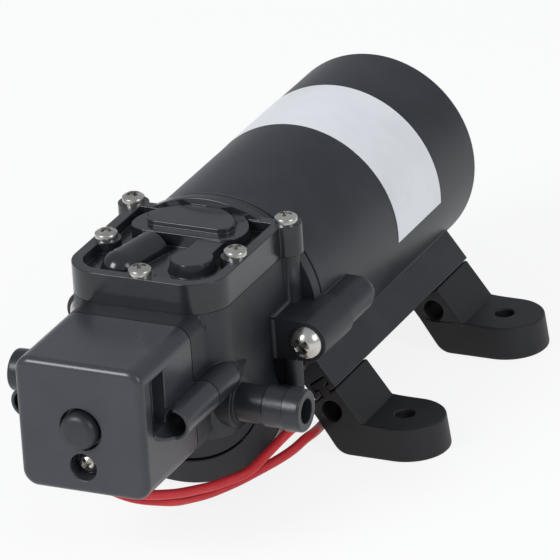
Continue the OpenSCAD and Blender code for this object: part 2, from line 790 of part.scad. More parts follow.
// Chamber of two steps, each round at the back and straight in front
module d_chamber() {
    step_z = rim_z + dome_step;
    chamber_step(dome_foot, panel_z - 0.5, step_z, dome_front, 4.5);
    chamber_step(dome_top, step_z - 0.2, rim_z + dome_rise, dome_front - 2.8, 3);
}
module chamber_step(r, z0, z1, front, corner) {
    intersection() {
        translate([0, dome_y, z0]) cylinder(r1 = r, r2 = r - 0.5, h = z1 - z0);
        translate([0, dome_y - front + r, z0]) linear_extrude(z1 - z0) round_rect(2 * r - 1.4, 2 * r, corner);
    }
}
module rear_arch() {
    intersection() {
        rod_y(rim_z + arch_rise, cover_rear - arch_t, arch_t);
        translate([-head_half, y_crank, panel_z - 0.5]) cube([2 * head_half, head_length, head_length]);
    }
}
module long_dome() {
    z = panel_z - 0.3;
    translate([-duct_x - 0.1, y_duct - 0.5, z]) {
        sphere(long_dome_r);
        rotate([-90, 0, -11.8]) cylinder(r = long_dome_r, h = 12.3);
    }
}
module round_dome() {
    foot = panel_z - 0.5;
    top = rim_z + 0.6;
    translate([duct_x - 0.4, y_duct + 3.3, foot]) cylinder(r1 = round_dome_r, r2 = round_dome_r - 1, h = top - foot);
    translate([0, 0, foot]) linear_extrude(top - foot - 0.3) polygon([
        [duct_x - 4, y_duct + 3.5], [duct_x + 2.8, y_duct + 3.5],
        [duct_x + 2.8, dome_y + 1], [duct_x - 3.8, dome_y + 1]
    ]);
}
// Space over the valves, parted by a rib between the inlet and the outlet side
module valve_space() {
    rib = 1.6;
    roof = plate_top + 1;
    rod_z(diaphragm_r - 1.5, head_top - over, plate_top + thread_gap - head_top + over, [0, y_crank]);
    difference() {
        union() {
            rod_z(diaphragm_r - 1.5, plate_top, roof - plate_top, [0, y_crank]);
            intersection() {
                rod_z(dome_top - 1.7, plate_top, rim_z - plate_top - 0.2, [0, dome_y]);
                translate([-dome_foot, dome_y + 0.3, plate_top]) cube([2 * dome_foot, dome_foot, 10]);
            }
        }
        translate([-rib / 2, y_head, plate_top + thread_gap]) cube([rib, head_length, 10]);
    }
}
module cover_screws() {
    color(steel) place() for (at = cover_screw_at)
        translate([at.x, at.y, rim_z]) pan_screw(small_head_d, small_head_h, small_r, cover_screw_l);
}

// Pumping mechanism
module eccentric() {
    color(steel) place() difference() {
        rod_y(eccentric_r, y_crank - 4, 8, [0, eccentric_z]);
        rod_y(journal_r() + press_gap, y_crank - 5, 10);
    }
}
module rod_bearing() {
    color(steel) place() translate([0, y_crank - 2.5, eccentric_z]) rotate([-90, 0, 0])
        bearing(eccentric_r + run_gap, rod_bearing_r, 5);
}
module connecting_rod() {
    eye = rod_bearing_r + press_gap;
    color("white") place() difference() {
        union() {
            rod_y(rod_bearing_r + rod_wall, y_crank - 3, 6, [0, eccentric_z]);
            rod_z(piston_r + 0.5, rod_disc_z, rod_disc_t, [0, y_crank]);
        }
        rod_y(eye, y_crank - 4, 8, [0, eccentric_z]);
        rod_z(1 + thread_gap, 0, 20, [0, y_crank]);
    }
}
module piston_cap() {
    color("white") place() difference() {
        rod_z(piston_r, piston_z, piston_t, [0, y_crank]);
        rod_z(1 + thread_gap, piston_z - over, 5, [0, y_crank]);
        rod_z(2.2, piston_z + piston_t / 2, 5, [0, y_crank]);
    }
}
module piston_screw() {
    tip = rod_disc_z - 1;
    color(steel) place() {
        rod_z(2, piston_z + piston_t / 2, piston_t / 2 - 0.1, [0, y_crank]);
        rod_z(1, tip, piston_z + piston_t - 0.2 - tip, [0, y_crank]);
    }
}
module diaphragm() {
    low = rod_disc_z + rod_disc_t;
    seat = diaphragm_r - 2.7;
    color(black) place() translate([0, y_crank, 0]) rotate_extrude() polygon([
        [1.1, low], [piston_r + 0.9, low], [seat, ledge_z], [diaphragm_r, ledge_z],
        [diaphragm_r, plate_z], [seat, plate_z], [piston_r + 0.5, piston_z], [1.1, piston_z]
    ]);
}
module valve_plate() {
    rim = head_top - 0.1;
    dome = diaphragm_r - 2.1;
    color("white") place() difference() {
        translate([0, y_crank, 0]) rotate_extrude() polygon([
            [0, chamber_z], [chamber_r, chamber_z], [chamber_r, plate_z], [diaphragm_r - 0.1, plate_z],
            [diaphragm_r - 0.1, rim], [dome, rim], [dome, plate_top], [0, plate_top]
        ]);
        for (side = [-1, 1]) {
            rod_z(0.75, plate_z, 10, [side * valve_x, y_valve]);
            for (i = [0 : 5]) translate([side * valve_x, y_valve, plate_z]) rotate(i * 60)
                translate([2, 0, 0]) cylinder(r = 0.6, h = 10, $fn = 24);
        }
    }
}
module inlet_valve() {
    color(black) place() {
        rod_z(valve_r, chamber_z - valve_t, valve_t, [valve_x, y_valve]);
        rod_z(0.7, chamber_z - valve_t / 2, plate_top - chamber_z + 0.85, [valve_x, y_valve]);
        rod_z(1.05, plate_top, 0.6, [valve_x, y_valve]);
    }
}
module outlet_valve() {
    color(black) place() {
        rod_z(valve_r, plate_top, valve_t, [-valve_x, y_valve]);
        rod_z(0.7, chamber_z - 0.5, plate_top - chamber_z + 0.85, [-valve_x, y_valve]);
        rod_z(1.05, chamber_z - 0.6, 0.6, [-valve_x, y_valve]);
    }
}

// Pressure switch
module switch_cover() {
    hole_r = plug_r - 0.7;
    boss = plug_sink + 1.2;
    seat = 20;
    color(charcoal) place() difference() {
        union() {
            difference() {
                along_y(0, switch_depth) translate([0, switch_z]) round_rect(switch_w, switch_h, switch_corner);
                both() side_pocket(10);
                switch_inside();
            }
            both() {
                rod_y(tunnel_r, tunnel_mouth, switch_depth - tunnel_mouth, [tunnel_x, -tunnel_drop]);
                tunnel_web(pocket_back, switch_depth - pocket_back);
                tunnel_scoop();
            }
            rod_y(adjust_hole_r + 0.8, switch_wall / 2, adjust_sink + over - switch_wall / 2, [0, -adjust_drop]);
            rod_y(plug_r + plug_gap + 1, switch_wall / 2, boss - switch_wall / 2, [0, plunger_z]);
        }
        both() {
            side_pocket(pocket_depth + tunnel_out - 0.3);
            rod_y(tunnel_bore, pocket_front, seat - pocket_front, [tunnel_x, -tunnel_drop]);
            rod_y(small_r + loose_gap, tunnel_mouth, switch_depth, [tunnel_x, -tunnel_drop]);
        }
        rod_y(hole_r, -over, boss + 2 * over, [0, plunger_z]);
        rod_y(plug_r + plug_gap, -over, plug_sink + over, [0, plunger_z]);
        rod_y(plug_r, boss, 2, [0, plunger_z]);
        rod_y(adjust_hole_r, -over, adjust_sink + over, [0, -adjust_drop]);
        rod_y(adjust_r() + run_gap, 0, 12, [0, -adjust_drop]);
        lead_slot(-6.4, 6.4, 6.2);
        lead_slot(-8.6, -2, 11.2);
    }
}
// Web that fills the groove between a tunnel and the box
module tunnel_web(y0, l) {
    inner = switch_w / 2 - 1.8;
    translate([inner, y0, -tunnel_drop]) cube([tunnel_x - inner, l, tunnel_r - 0.5]);
}
// Lower lip that leads from the pocket into the tunnel
module tunnel_scoop() {
    front = tunnel_mouth - 4;
    side = switch_w / 2;
    intersection() {
        rod_y(tunnel_r, front, tunnel_mouth - front + over, [tunnel_x, -tunnel_drop]);
        translate([0, 0, -tunnel_drop - tunnel_r]) linear_extrude(tunnel_r - 0.6) polygon([
            [side - 1, front], [side, front], [tunnel_x, tunnel_mouth],
            [tunnel_x, tunnel_mouth + over], [side - 1, tunnel_mouth + over]
        ]);
    }
}
function adjust_r() = 1.2;
module switch_inside() {
    wide = switch_w - 2 * switch_wall - 0.4;
    low = switch_z - inside_h / 2;
    along_y(switch_wall, switch_depth) translate([-inside_w / 2, low]) square([inside_w, inside_h]);
    along_y(14, switch_depth) translate([-wide / 2, low]) square([wide, inside_h]);
}
// Hollow in the side that gives the screwdriver its way into the tunnel
module side_pocket(width) {
    low = -tunnel_drop - 0.6;
    high = -tunnel_drop + 12.2;
    translate([switch_w / 2 - pocket_depth, pocket_front, low]) cube([width, pocket_back - pocket_front, high - low]);
}
// Slot in the underside for a lead that leaves at a slant
module lead_slot(x0, x1, y) {
    z = switch_z - switch_h / 2 - over;
    r = lead_r + 0.45;
    translate([0, 0, z]) linear_extrude(switch_wall + 2 * over) {
        translate([x0, y - r]) square([x1 - x0, 2 * r]);
        for (x = [x0, x1]) translate([x, y]) circle(r);
    }
}
module switch_plug() {
    neck = plug_r - 0.8;
    tall = plug_proud + plug_sink;
    back = plug_sink + 1.3;
    color(black) place() {
        translate([0, plug_sink, plunger_z]) rotate([90, 0, 0]) rotate_extrude() dome_profile(plug_r, tall, tall * 0.75);
        rod_y(neck, plug_sink / 2, back + 0.5 - plug_sink / 2, [0, plunger_z]);
        rod_y(neck + 0.5, back, 1, [0, plunger_z]);
    }
}
module switch_screws() {
    color(steel) place() both() translate([tunnel_x, 20, -tunnel_drop]) rotate([90, 0, 0])
        pan_screw(small_head_d, small_head_h, small_r, switch_screw_l);
}
module adjusting_screw() {
    color(steel) place() translate([0, adjust_sink - thread_gap, -adjust_drop]) rotate([90, 0, 0])
        pan_screw(4.2, 1.8, adjust_r(), 8);
}
// Cage that guides the plunger and holds the switch diaphragm against the stub
module switch_bracket() {
    half = inside_w / 2 - 1.3;
    ring = membrane_r - 2.4;
    color(steel) place() difference() {
        union() {
            along_y(y_plate, plate_t) translate([0, switch_z]) square([2 * half, inside_h - 1.4], center = true);
            both() translate([half - 1.2, y_plate, plunger_z - 3]) cube([1.2, switch_depth - y_plate, 6]);
            rod_y(half + 0.4, y_flat, switch_depth - y_flat, [0, plunger_z]);
        }
        rod_y(ring, y_flat - over, 5, [0, plunger_z]);
        rod_y(1.9 + run_gap, y_plate - over, 5, [0, plunger_z]);
        rod_y(adjust_r() + run_gap, y_plate - over, 5, [0, -adjust_drop]);
    }
}
module switch_diaphragm() {
    color(black) place() rod_y(membrane_r, switch_depth, membrane_t, [0, plunger_z]);
}
module switch_plunger() {
    color("white") place() {
        rod_y(6, y_flat, switch_depth - y_flat, [0, plunger_z]);
        rod_y(1.9, y_plate - 2, y_flat - y_plate + 3, [0, plunger_z]);
    }
}
module switch_spring() {
    seat = y_plate + plate_t + spring_wire + thread_gap;
    path = helix(spring_r, y_flat - spring_wire - thread_gap - seat, spring_turns);
    echo("switch spring gap", coil_gap(path, spring_wire));
    color(steel) place() translate([0, seat, plunger_z]) rotate([-90, 0, 0]) tube(path, spring_wire, 6, [1, 0, 0]);
}
module microswitch() {
    color(black) place() difference() {
        translate([-3, y_plate + plate_t, plunger_z + 4]) cube([6, 10.9, 6.2]);
        rod_y(button_r + run_gap, y_button - plunger_travel - 0.4, 5, [0, button_z]);
    }
}
module switch_button() {
    color(coral) place() rod_y(button_r, y_button, y_flat - 0.3 - y_button, [0, button_z]);
}

// Feet
module foot(y0) {
    inset = 0.5;
    inner = inset + foot_leg;
    pad_top = floor_z + foot_pad;
    mid = y0 + foot_w / 2;
    top_w = foot_w / 2;
    low_w = top_w + foot_flare;
    pad_x = foot_reach - low_w;
    heel = slope_to(floor_z, inner);
    color(black) place() difference() {
        union() {
            intersection() {
                along_y(y0 - over, foot_w + 2 * over) polygon([
                    rail_pt(loose_gap, inset), rail_pt(slope_to(pad_top, inset), inset),
                    [pad_x, pad_top], [pad_x, floor_z],
                    for (u = [0 : 0.125 : 1]) heel_arc(u, rail_pt(heel, inner), rail_pt(heel - foot_heel, inner)),
                    rail_pt(loose_gap, inner)
                ]);
                translate([0, mid, 0]) rotate([90, 0, 90]) linear_extrude(pad_x + over) polygon([
                    [-low_w, floor_z], [low_w, floor_z], [top_w, pad_top], [top_w, 0], [-top_w, 0], [-top_w, pad_top]
                ]);
            }
            translate([pad_x, mid, floor_z]) cylinder(r1 = low_w, r2 = top_w, h = foot_pad);
            along_y(y0, foot_w) rail_tongue(inset + 1);
        }
        rod_z(foot_hole_d / 2, floor_z - over, foot_pad + 2 * over, [foot_hole_x, mid]);
        rod_y(foot_core_d / 2, y0 - over, foot_w + 2 * over, rail_pt(foot_core_d / 2 + 1.7, inset + foot_leg / 2));
    }
}
// Point on the rounded heel, from the floor at u = 0 to the end of the leg's straight inner face at u = 1
function heel_arc(u, corner, leg) =
    let (sole = [corner.x + foot_heel, corner.y])
    (1 - u) * (1 - u) * sole + 2 * u * (1 - u) * corner + u * u * leg;
module rail_tongue(depth) {
    rail_slot(0.15);
    mid = rail_t / 2;
    polygon([rail_pt(loose_gap, mid - 1), rail_pt(loose_gap, mid + 1), rail_pt(depth, mid + 1), rail_pt(depth, mid - 1)]);
}
y_rear_foot = y_rail + rail_length - foot_w;
module foot_front_right() {
    foot(y_rail);
}
module foot_front_left() {
    mirror([1, 0, 0]) foot(y_rail);
}
module foot_rear_right() {
    foot(y_rear_foot);
}
module foot_rear_left() {
    mirror([1, 0, 0]) foot(y_rear_foot);
}

// Leads
module lead_grommet() {
    flange = 1.2;
    gap = 0.1;
    color(black) place() {
        rod_z(grommet_r(), -motor_r - gap - flange / 2, motor_wall + gap + flange, [0, y_grommet]);
        rod_z(grommet_r() + 1, -motor_r - gap - flange, flange, [0, y_grommet]);
    }
}
module motor_lead() {
    color(coral) tube(smooth(motor_lead_route, 5), lead_r, 8);
}
module supply_lead() {
    color(coral) tube(smooth(supply_lead_route, 6), lead_r, 8);
}

motor_housing();
front_plate();
front_bearing();
rear_bearing();
motor_shaft();
armature();
windings();
commutator();
magnets();
brush_plate();
brushes();
brush_springs();
pump_housing();
lower_cover();
top_cover();
cover_screws();
head_bolts();
eccentric();
rod_bearing();
connecting_rod();
piston_cap();
piston_screw();
diaphragm();
valve_plate();
inlet_valve();
outlet_valve();
switch_cover();
switch_plug();
switch_screws();
adjusting_screw();
switch_bracket();
switch_diaphragm();
switch_plunger();
switch_spring();
microswitch();
switch_button();
foot_front_right();
foot_front_left();
foot_rear_right();
foot_rear_left();
lead_grommet();
motor_lead();
supply_lead();
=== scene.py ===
import math

import bpy
from mathutils import Euler, Matrix, Vector


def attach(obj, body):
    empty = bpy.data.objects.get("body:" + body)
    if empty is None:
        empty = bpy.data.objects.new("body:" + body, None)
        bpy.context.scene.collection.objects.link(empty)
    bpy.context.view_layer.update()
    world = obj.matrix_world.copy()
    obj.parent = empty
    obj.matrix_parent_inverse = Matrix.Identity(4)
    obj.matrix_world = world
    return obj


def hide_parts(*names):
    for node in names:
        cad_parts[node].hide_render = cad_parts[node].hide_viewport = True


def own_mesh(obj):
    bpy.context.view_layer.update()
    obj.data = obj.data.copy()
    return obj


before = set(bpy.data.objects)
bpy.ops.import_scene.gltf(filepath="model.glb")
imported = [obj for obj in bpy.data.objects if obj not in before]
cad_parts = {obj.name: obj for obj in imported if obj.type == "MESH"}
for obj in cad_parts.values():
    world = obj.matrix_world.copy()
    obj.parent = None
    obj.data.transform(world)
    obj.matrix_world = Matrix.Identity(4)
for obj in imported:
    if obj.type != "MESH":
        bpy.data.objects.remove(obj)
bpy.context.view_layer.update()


# The view. A long lens stands in front of the pump, to its right and above it, and the
# picture is turned a little, as a hand-held product picture is.
mm = 0.001
view_azimuth = math.radians(26.44)
view_elevation = math.radians(24.13)
view_roll = math.radians(-3.70)
view_place = (649.5 * mm, -1282.3 * mm, 682.2 * mm)
level_view = Euler((math.pi / 2 - view_elevation, 0, view_azimuth)).to_matrix()
rolled_view = level_view @ Matrix.Rotation(view_roll, 3, "Z")
bpy.ops.object.camera_add(location=view_place, rotation=rolled_view.to_euler())
camera = bpy.context.object
camera.data.lens = 433.5
camera.data.sensor_width = 36
camera.data.clip_end = 20
bpy.context.scene.camera = camera


# The two leads. Each is stranded copper in soft red insulation, 2.3 mm across. One goes from
# the pressure switch into the motor. The other is the supply lead, which is put away under the
# motor in one bend and ends bare, ready for a connector.
lead_d = 2.3 * mm
switch_bottom = 21.2
motor_lead_route = [
    (-7, -75, switch_bottom + 4), (-3, -75, switch_bottom + 2.2), (1, -75, switch_bottom + 0.6),
    (5, -74.8, switch_bottom - 0.9), (9, -72.6, switch_bottom - 2.4), (11.8, -66.6, 16.2),
    (14.7, -56.2, 12.9), (17.6, -46.2, 10.9), (20.8, -40.6, 11.4), (24.2, -38.4, 14.8),
    (27.4, -35.4, 18.4), (27.6, -29, 18.4), (26.4, -23.6, 16.6), (24, -19, 14.6),
    (20, -12.4, 12.4), (16.6, -4, 10.4), (12.8, 2, 8.2), (8.5, 6.5, 6.4),
    (4.4, 9.8, 5.8), (1.4, 11.5, 7.2), (0, 11.8, 9.4), (0, 11.8, 11),
]
supply_lead_route = [
    (-9, -70, switch_bottom + 4.7), (-5.5, -70, switch_bottom + 1.2),
    (-1.8, -70, switch_bottom - 2.4), (3, -69.4, switch_bottom - 5), (9.9, -64.2, 13.2),
    (13, -53.2, 9.4), (16.2, -43.2, 8), (20, -33.2, 8.2), (22.8, -23.2, 8.4),
    (22.8, -14, 7.8), (21.6, -7, 6), (20, -0.5, 4.2), (18.6, 5, 3), (16, 11, 2.2),
    (12.5, 19, 1.6), (9.6, 30, 1.4), (9, 46, 1.4), (9, 66, 1.4), (6.4, 72.4, 1.4),
    (0, 75, 1.4), (-6.4, 72.4, 1.4), (-9, 66, 1.4), (-9, 46, 1.4), (-9, 24, 1.4),
]


class Shade:
    """A value in a material that takes part in arithmetic: each operation adds a Math node."""

    def __init__(self, finish, socket):
        self.finish = finish
        self.socket = socket

    def math(self, operation, first, second=0.0):
        return self.finish.node("ShaderNodeMath", {"operation": operation}, {0: first, 1: second})

    def __add__(self, other):
        return self.math("ADD", self, other)

    def __sub__(self, other):
        return self.math("SUBTRACT", self, other)

    def __rsub__(self, other):
        return self.math("SUBTRACT", other, self)

    def __mul__(self, other):
        return self.math("MULTIPLY", self, other)

    __radd__ = __add__
    __rmul__ = __mul__

    def above(self, low, high):
        """0 below low, 1 above high and smooth between."""
        sockets = {0: self, 1: low, 2: high, 3: 0.0, 4: 1.0}
        return self.finish.node("ShaderNodeMapRange", {"interpolation_type": "SMOOTHSTEP"}, sockets)


class Finish:
    """A material: its Principled shader and the nodes that feed it."""

    def __init__(self, name, **sockets):
        self.material = bpy.data.materials.new(name)
        self.material.use_nodes = True
        self.tree = self.material.node_tree
        self.shader = self.tree.nodes["Principled BSDF"]
        self.place = self.node("ShaderNodeTexCoord", {}, {}, "Object")
        for socket, value in sockets.items():
            self.set(socket.replace("_", " "), value)

    def node(self, kind, settings, inputs, output=0):
        """A new node of a kind, with its settings, then its inputs' values or links."""
        made = self.tree.nodes.new(kind)
        for setting, value in settings.items():
            setattr(made, setting, value)
        for socket, value in inputs.items():
            self.feed(made.inputs[socket], value)
        return Shade(self, made.outputs[output])

    def feed(self, socket, value):
        if isinstance(value, Shade):
            self.tree.links.new(value.socket, socket)
        else:
            socket.default_value = value

    def set(self, socket, value):
        self.feed(self.shader.inputs[socket], value)

    def stretched(self, scale, turn=(0, 0, 0)):
        """The object's own coordinates, scaled along each axis and turned."""
        sockets = {"Vector": self.place, "Scale": scale, "Rotation": turn}
        return self.node("ShaderNodeMapping", {}, sockets)

    def noise(self, scale, detail=4.0, rough=0.55, at=None):
        """A cloudy value between 0 and 1 over the object, or over stretched coordinates."""
        sockets = {"Vector": at or self.place, "Scale": scale, "Detail": detail, "Roughness": rough}
        return self.node("ShaderNodeTexNoise", {}, sockets)

    def mix(self, share, first, second):
        """A colour between two colours, each an RGB tuple or another mix."""
        first = (*first, 1) if isinstance(first, tuple) else first
        second = (*second, 1) if isinstance(second, tuple) else second
        return self.node("ShaderNodeMix", {"data_type": "RGBA"}, {0: share, 6: first, 7: second}, 2)

    def relief(self, height, depth):
        """Fine relief of the given depth in metres."""
        self.set("Normal", self.node("ShaderNodeBump", {}, {"Height": height, "Distance": depth}))


def choose(*pieces):
    """Selects these pieces alone, the last one active."""
    bpy.ops.object.select_all(action="DESELECT")
    for piece in pieces:
        piece.select_set(True)
    bpy.context.view_layer.objects.active = pieces[-1]


def coat(piece, finish):
    """Gives a piece its finish."""
    piece.data.materials.clear()
    piece.data.materials.append(finish.material)


def dress(piece, finish, smooth=35):
    """Gives a new piece its finish and smooth shading up to an angle."""
    coat(piece, finish)
    if piece.type == "MESH":
        choose(piece)
        bpy.ops.object.shade_smooth_by_angle(angle=math.radians(smooth))


insulation = Finish("red_insulation", Specular_IOR_Level=0.3)
streak = insulation.noise(700, at=insulation.stretched((1, 0.2, 1)))
rubbed = insulation.noise(160, 6)
paler = streak.above(0.3, 0.75) * 0.6 + rubbed.above(0.55, 0.75) * 0.4
insulation.set("Base Color", insulation.mix(paler, (0.59, 0.026, 0.032), (0.68, 0.04, 0.046)))
insulation.set("Roughness", 0.34 + 0.18 * insulation.noise(1500))
insulation.relief(streak + 0.5 * insulation.noise(2600), 0.02 * mm)


def lay_lead(node, name, route):
    """A lead through the points of its route, which is given in millimetres."""
    bpy.ops.object.select_all(action="DESELECT")
    bpy.ops.curve.primitive_bezier_curve_add()
    lead = bpy.context.object
    lead.name = name
    spline = lead.data.splines[0]
    spline.bezier_points.add(len(route) - 2)
    for knot, point in zip(spline.bezier_points, route):
        knot.co = Vector(point) * mm
        knot.handle_left_type = "AUTO"
        knot.handle_right_type = "AUTO"
    lead.data.resolution_u = 10
    lead.data.bevel_depth = lead_d / 2
    lead.data.bevel_resolution = 5
    lead.data.use_fill_caps = True
    dress(lead, insulation)
    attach(lead, "pump")
    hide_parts(node)


strands = Finish("bare_copper", Metallic=1.0)
tarnish = strands.noise(900, 5)
bright_copper = (0.80, 0.44, 0.27)
dull_copper = (0.52, 0.26, 0.15)
strands.set("Base Color", strands.mix(tarnish.above(0.4, 0.7), bright_copper, dull_copper))
strands.set("Roughness", 0.25 + 0.2 * tarnish)
strands.relief(strands.noise(3000), 0.01 * mm)

bare_end = Vector(supply_lead_route[-1]) * mm
strand_lobes = 7
rim_points = 4 * strand_lobes
bare_r = 0.62 * mm
tucked_in = Vector((0, 0.6 * mm, 0))
twist_steps = 12
twist_advance = (0, -0.5 * mm, 0)
twist_angle = math.radians(12)
bpy.ops.object.select_all(action="DESELECT")
bpy.ops.mesh.primitive_circle_add(
    vertices=rim_points, radius=bare_r, fill_type="NGON",
    location=bare_end + tucked_in, rotation=(math.pi / 2, 0, 0),
)
copper_end = bpy.context.object
copper_end.name = "bare_copper_end"
bpy.ops.object.transform_apply()
for index, corner in enumerate(copper_end.data.vertices):
    lobe = 1 + 0.14 * math.cos(strand_lobes * 2 * math.pi * index / rim_points)
    corner.co.x = bare_end.x + (corner.co.x - bare_end.x) * lobe
    corner.co.z = bare_end.z + (corner.co.z - bare_end.z) * lobe
bpy.ops.object.mode_set(mode="EDIT")
bpy.ops.mesh.select_all(action="SELECT")
for step in range(twist_steps):
    bpy.ops.mesh.extrude_region_move(TRANSFORM_OT_translate={"value": twist_advance})
    bpy.ops.transform.rotate(value=twist_angle, orient_axis="Y", center_override=bare_end)
bpy.ops.mesh.select_all(action="SELECT")
bpy.ops.mesh.normals_make_consistent(inside=False)
bpy.ops.object.mode_set(mode="OBJECT")
dress(copper_end, strands, smooth=50)
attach(copper_end, "pump")

lay_lead("motor_lead", "red_motor_lead", motor_lead_route)
lay_lead("supply_lead", "red_supply_lead", supply_lead_route)


# The motor's shell. A round can with a closed rear end, its two foot rails and two screw bosses,
# moulded in one piece of black plastic; the edges come out of the mould a little rounded.
motor_z = 38
bolt_x = 28.2
weld = 0.002 * mm  # points closer than this are one


def round_edges(piece, pick, width, segments):
    """Rounds the sharp edges whose two ends pick takes, as points in millimetres."""
    choose(piece)
    bpy.ops.object.mode_set(mode="EDIT")
    bpy.ops.mesh.select_mode(type="EDGE")
    bpy.ops.mesh.select_all(action="DESELECT")
    bpy.ops.mesh.edges_select_sharp(sharpness=math.radians(32))
    bpy.ops.object.mode_set(mode="OBJECT")
    weights = piece.data.attributes.new("bevel_weight_edge", "FLOAT", "EDGE")
    for edge in piece.data.edges:
        picked = all(pick(piece.data.vertices[end].co / mm) for end in edge.vertices)
        weights.data[edge.index].value = float(edge.select and picked)
    bevel = piece.modifiers.new("rounded edges", "BEVEL")
    bevel.width = width
    bevel.segments = segments
    bevel.limit_method = "WEIGHT"
    bevel.use_clamp_overlap = False
    bpy.ops.object.modifier_apply(modifier=bevel.name)
    piece.data.attributes.remove(piece.data.attributes["bevel_weight_edge"])


def eased(node, name, width, cuts, wide=None, wide_width=0.0, keep=None):
    """A copy of a node with rounded edges: those that wide picks by wide_width, the other sharp
    ones by width, but not those that keep picks. Flat faces are joined up to the cuts, planes
    through the holes in millimetres, which keeps the rounding even."""
    choose(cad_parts[node])
    bpy.ops.object.duplicate()
    piece = bpy.context.object
    piece.parent = None
    piece.name = name
    bpy.ops.object.mode_set(mode="EDIT")
    bpy.ops.mesh.select_mode(type="VERT")
    bpy.ops.mesh.select_all(action="SELECT")
    bpy.ops.mesh.remove_doubles(threshold=weld)
    for axis, places in cuts.items():
        across = ["xyz"[way] == axis for way in range(3)]
        for place in places:
            middle = [place * mm * way for way in across]
            bpy.ops.mesh.select_all(action="SELECT")
            bpy.ops.mesh.bisect(plane_co=middle, plane_no=across, threshold=weld)
            bpy.ops.mesh.mark_seam()
    bpy.ops.mesh.select_all(action="SELECT")
    bpy.ops.mesh.dissolve_limited(angle_limit=math.radians(0.6), delimit={"SEAM"})
    bpy.ops.object.mode_set(mode="OBJECT")
    if wide:
        round_edges(piece, wide, wide_width, segments=5)
    round_edges(piece, lambda at: not (keep and keep(at)), width, segments=3)
    level = piece.modifiers.new("flat faces", "WEIGHTED_NORMAL")
    level.keep_sharp = True
    choose(piece)
    bpy.ops.object.shade_smooth_by_angle(angle=math.radians(35))
    bpy.ops.object.modifier_apply(modifier=level.name)
    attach(piece, "pump")
    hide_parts(node)
    return piece


def moulded(name, colour, worn, gloss, grain, scuffs=0.0, shine=0.5, polished=None):
    """Moulded plastic or rubber: cloudy colour, uneven gloss, a fine eroded grain and faint
    scuffs; polished gives the share of a place where the mould is polished."""
    plastic = Finish(name, Specular_IOR_Level=shine)
    cloud = plastic.noise(90, 6)
    fine = plastic.noise(3200, 3)
    speck = plastic.noise(420, 8, 0.7)
    lengthways = plastic.stretched((1, 14, 14), (0.2, 0.1, 0.5))
    sideways = plastic.stretched((14, 1, 14), (0.1, 0.4, -0.3))
    along = plastic.noise(55, 5, 0.6, lengthways).above(0.66, 0.74)
    across = plastic.noise(60, 5, 0.6, sideways).above(0.67, 0.75)
    scratch = (along + across) * plastic.noise(30).above(0.5, 0.65) * scuffs
    share = cloud.above(0.35, 0.7) * 0.6 + speck.above(0.62, 0.8) * 0.3 + scratch
    plastic.set("Base Color", plastic.mix(share, colour, worn))
    rough = gloss + 0.10 * cloud + 0.08 * fine + 0.15 * scratch
    if polished:
        rough = rough - 0.16 * polished(plastic)
    plastic.set("Roughness", rough)
    plastic.relief(fine + 0.4 * speck, grain)
    return plastic


shell_finish = moulded(
    "shell_plastic", (0.011, 0.013, 0.018), (0.024, 0.027, 0.034),
    gloss=0.36, grain=0.012 * mm, scuffs=0.8,
)
shell_cuts = {"x": (0, -bolt_x, bolt_x), "z": (motor_z,)}
motor_shell = eased("motor_housing", "motor_shell", width=0.3 * mm, cuts=shell_cuts)
coat(motor_shell, shell_finish)


# The label's place. A white vinyl band is stuck over the top of the shell, from just under the
# middle of one side to the other, and is left bare.
label_front = 36.7 * mm
label_rear = 61.4 * mm
label_low = 36.35 * mm
label_r = 25.53 * mm
bpy.ops.object.select_all(action="DESELECT")
bpy.ops.mesh.primitive_cylinder_add(
    vertices=256, radius=label_r, depth=label_rear - label_front, end_fill_type="NOTHING",
    location=(0, (label_front + label_rear) / 2, motor_z * mm), rotation=(math.pi / 2, 0, 0),
)
label = bpy.context.object
label.name = "bare_label"
bpy.ops.object.transform_apply()
bpy.ops.object.mode_set(mode="EDIT")
bpy.ops.mesh.select_all(action="SELECT")
bpy.ops.mesh.bisect(
    plane_co=(0, 0, label_low), plane_no=(0, 0, 1), clear_inner=True, threshold=weld
)
bpy.ops.mesh.select_all(action="SELECT")
bpy.ops.mesh.normals_make_consistent(inside=False)
bpy.ops.object.mode_set(mode="OBJECT")
film = label.modifiers.new("film", "SOLIDIFY")
film.thickness = 0.12 * mm
film.offset = 1
choose(label)
bpy.ops.object.modifier_apply(modifier=film.name)
vinyl = Finish("white_vinyl", Specular_IOR_Level=0.45)
handled = vinyl.noise(70, 6, 0.6)
clean_white = (0.86, 0.865, 0.87)
handled_white = (0.80, 0.805, 0.81)
vinyl.set("Base Color", vinyl.mix(handled.above(0.4, 0.75), clean_white, handled_white))
vinyl.set("Roughness", 0.34 + 0.12 * vinyl.noise(800) + 0.08 * handled)
vinyl.relief(vinyl.noise(1500) + 2 * handled, 0.01 * mm)
dress(label, vinyl, smooth=40)
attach(label, "pump")


# Inside the motor. Ground steel shaft, plate and bearings, a laminated iron armature with copper
# coils and commutator, ferrite magnets, and carbon brushes with their springs.
def paint(finish, *nodes):
    """Gives solids that keep their own shape a better finish."""
    for node in nodes:
        coat(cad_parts[node], finish)


def metal(name, colour, dull, rough, lines):
    """Metal with fine tool lines along one axis and a dulled film."""
    plain = Finish(name, Metallic=1.0)
    film_share = plain.noise(180, 6, 0.6)
    tool = plain.noise(500, 3, 0.5, plain.stretched(lines))
    plain.set("Base Color", plain.mix(film_share.above(0.4, 0.75), colour, dull))
    plain.set("Roughness", rough + 0.12 * tool + 0.1 * film_share)
    plain.relief(tool, 0.002 * mm)
    return plain


